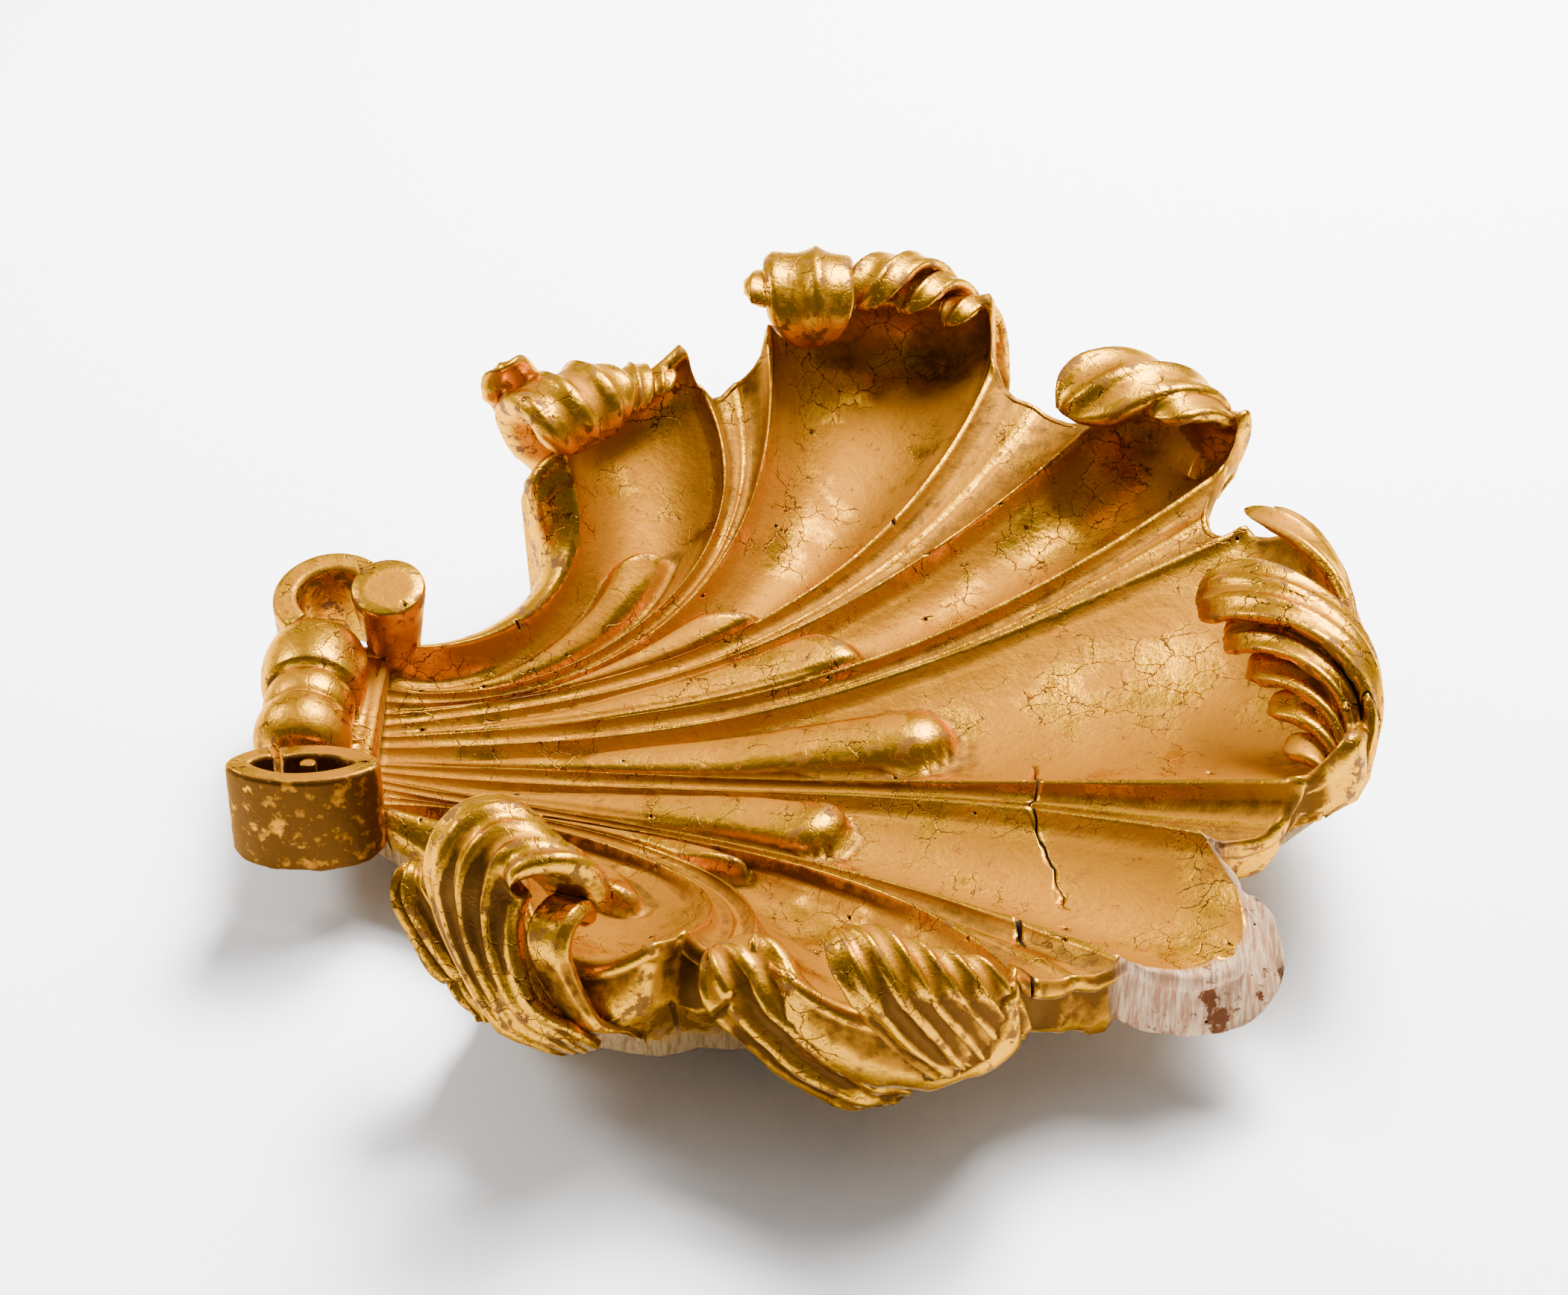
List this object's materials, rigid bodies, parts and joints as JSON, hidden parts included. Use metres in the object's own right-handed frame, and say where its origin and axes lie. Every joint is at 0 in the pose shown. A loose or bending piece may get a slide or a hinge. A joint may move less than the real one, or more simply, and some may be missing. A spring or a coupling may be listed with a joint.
{
  "type": "carved shell ornament",
  "caption": "Gilded carved-wood scallop shell ornament with hollow fluted lobes, teardrop beads, curled acanthus leaf rims and a scrolled root.",
  "frame": {"origin": "middle of the planed flat on the back, which the shell lies on", "axes": "+X along the shell's middle line from the scrolled root to the tip of the middle lobe; +Z out of the hollow side"},
  "size_m": [0.6294, 0.6428, 0.1936],
  "materials": {
    "gilded_wood": "aged burnished gold leaf over ochre and red bole on carved wood, rubbed on the ridges and grimed in the hollows"
  },
  "bodies": {
    "root": {"carved_shell": "gilded_wood"}
  },
  "joints": []
}
